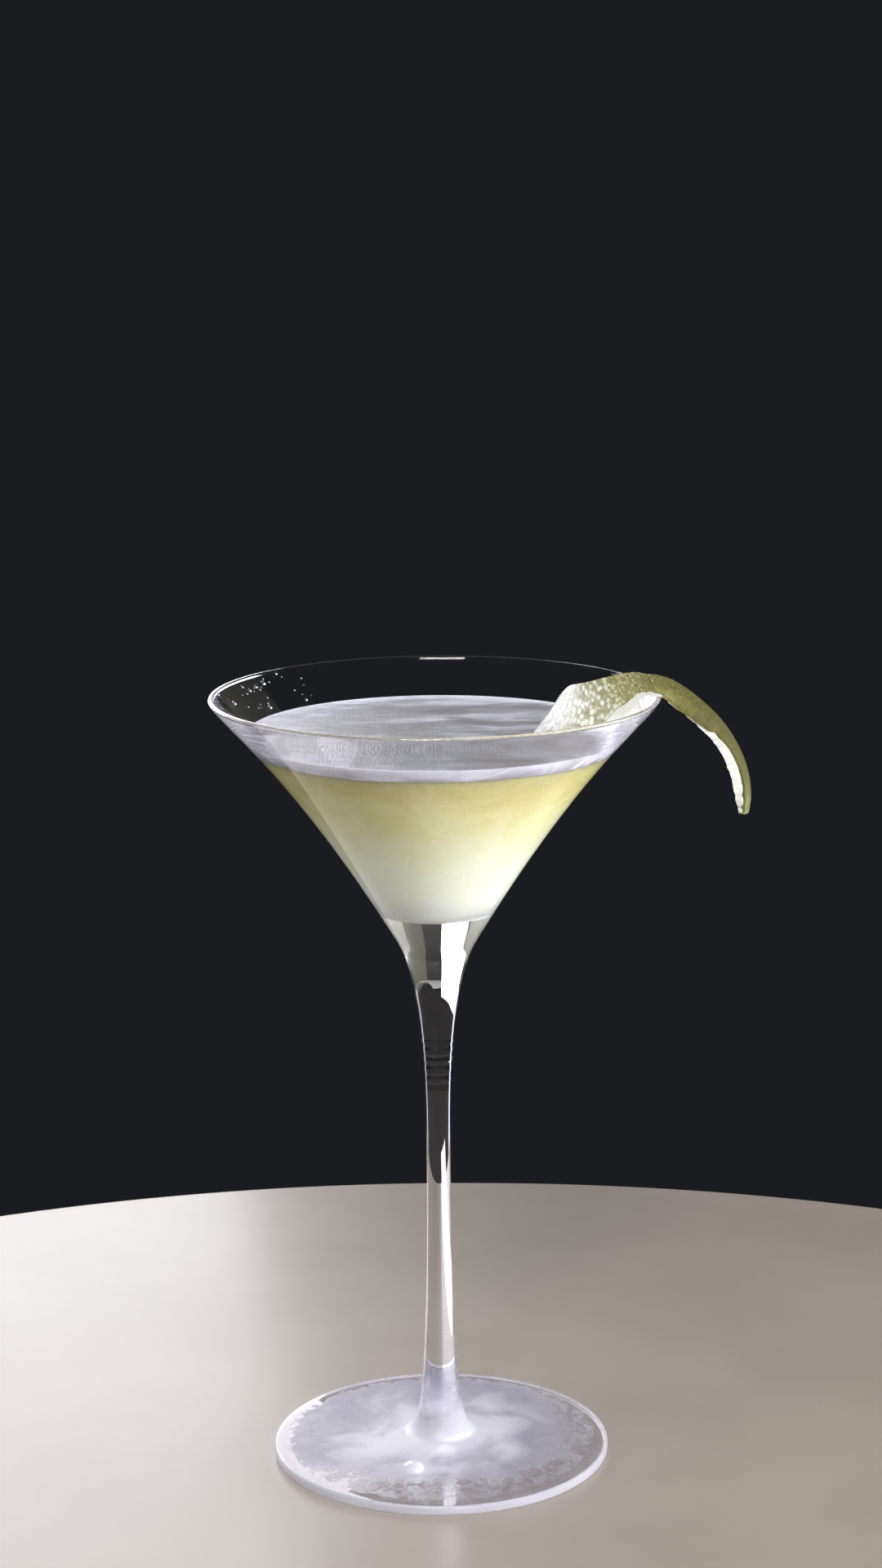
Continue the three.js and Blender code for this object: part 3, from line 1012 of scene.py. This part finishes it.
def make_zest(finish):
    """The yellow outer layer of the peel, with its oil glands."""
    def pared(section):
        """The knife's wavy cut along the near edge."""
        return wave(section, KNIFE_PITCH, 1) * KNIFE_WANDER - section["bare"]

    def outer(section, share):
        """Glands stand tall inside the bowl and low outside it, and fade at the cut edges."""
        place = strip_point(section, share, 0, pared(section))
        tall = mix(INNER_RELIEF, OUTER_RELIEF, min(1.0, section["t"] / RIM_SHARE))
        from_end = min(1.0, max(0.0, section["t"] - 0.03) / 0.08)
        from_sides = min(1.0, 8 * share, 8 * (1 - share))
        relief = tall * from_end * from_sides * (gland_relief(section, share) - 0.6)
        return floated(place + section["normal"] * relief)

    def inner(section, share):
        return floated(strip_point(section, share, ZEST_THICKNESS, pared(section)))

    zest = strip_layer("zest_skin", outer, inner)
    zest.data.materials.append(finish)
    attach(zest, "garnish")
    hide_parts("zest")


def make_pith(finish):
    """The white inner layer of the peel, torn along its near edge."""
    def ragged(section, share):
        """The pith tore unevenly: most along the near edge."""
        uneven = wave(section, TEAR_PITCH, 3) + 0.5 * wave(section, FINE_TEAR_PITCH, 8)
        return section["across"] * uneven * PITH_TEAR * max(0.0, 1 - share * 4)

    def outer(section, share):
        ledge = section["ledge"] * 0.3 - section["curl"] * 0.5
        place = strip_point(section, share, ZEST_THICKNESS - BOND, ledge)
        return floated(place + ragged(section, share) * 0.4)

    def inner(section, share):
        depth = ZEST_THICKNESS + BOND + PITH_THICKNESS * section["flesh"]
        place = strip_point(section, share, depth, section["ledge"] - section["curl"] * 0.5)
        rough = noise.noise(place / SPONGE_PITCH) * PITH_ROUGHNESS
        return pressed(place + ragged(section, share) + section["normal"] * rough)

    pith = strip_layer("pith_layer", outer, inner)
    pith.data.materials.append(finish)
    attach(pith, "garnish")
    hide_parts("pith")


# ------------------------------------------------------------------ water drops

def drop(place, facing, radius):
    """A drop that clings to a surface, half as thick as it is wide."""
    deselect()
    turn = facing.to_track_quat("Z", "Y").to_euler()
    bpy.ops.mesh.primitive_uv_sphere_add(
        segments=20, ring_count=12, radius=radius, location=place, rotation=turn
    )
    bpy.ops.transform.resize(value=(1, 1, DROP_FLATNESS), orient_type="LOCAL")
    bpy.ops.object.transform_apply(location=True, rotation=True, scale=True)
    bpy.ops.object.shade_smooth()
    return bpy.context.object


def joined(name, parts):
    deselect()
    for part in parts:
        part.select_set(True)
    bpy.context.view_layer.objects.active = parts[0]
    bpy.ops.object.join()
    return named(name)


def wall_drop(above, degrees, width):
    """A drop on the inside of the bowl's wall, bulging towards the axis."""
    t = share_at(1, min(FOAM_TOP + above * MM, LIP_BOTTOM))
    wall = inside_wall(t)
    way = cubic_way(FLANK, t)
    angle = math.radians(degrees)
    out = Vector((math.cos(angle), math.sin(angle), 0))
    facing = out * -way.y + Vector((0, 0, way.x))
    place = out * wall.x + Vector((0, 0, wall.y))
    return drop(place, facing, width * MM / 2 * DROP_SPREAD)


def make_drops(finish):
    """Drops left inside the bowl by the rinse, with finer ones between, and one on the foot."""
    chance = random.Random(7)
    made = [wall_drop(*each) for each in WALL_DROPS]
    for _ in range(FINE_DROP_COUNT):
        above = chance.uniform(*FINE_DROP_HEIGHTS)
        degrees = chance.uniform(*FINE_DROP_ANGLES)
        made.append(wall_drop(above, degrees, chance.uniform(*FINE_DROP_WIDTHS)))
    resting = Vector(FOOT_DROP_PLACE)
    resting.z = foot_height(resting.length) + FOOT_DROP_LIFT
    made.append(drop(resting, Vector((0, 0, 1)), FOOT_DROP_RADIUS))
    drops = joined("water_drops", made)
    drops.data.materials.append(finish)
    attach(drops, "glass")


light_studio()
set_camera()
lay_tabletop()

CRYSTAL = clear_crystal()
FUSED = fused_joint()
make_bowl(CRYSTAL, FUSED)
make_stem(misted_crystal("misted_stem", pad_mist), FUSED)
make_foot(misted_crystal("misted_foot", foot_mist), FUSED)
make_drink(cloudy_drink())
make_foam(fine_foam())
make_zest(lemon_zest())
make_pith(soft_pith())
make_drops(water())

scene = bpy.context.scene
scene.view_settings.view_transform = "Standard"
scene.cycles.max_bounces = 32
scene.cycles.glossy_bounces = 24
scene.cycles.transmission_bounces = 32
scene.cycles.transparent_max_bounces = 32
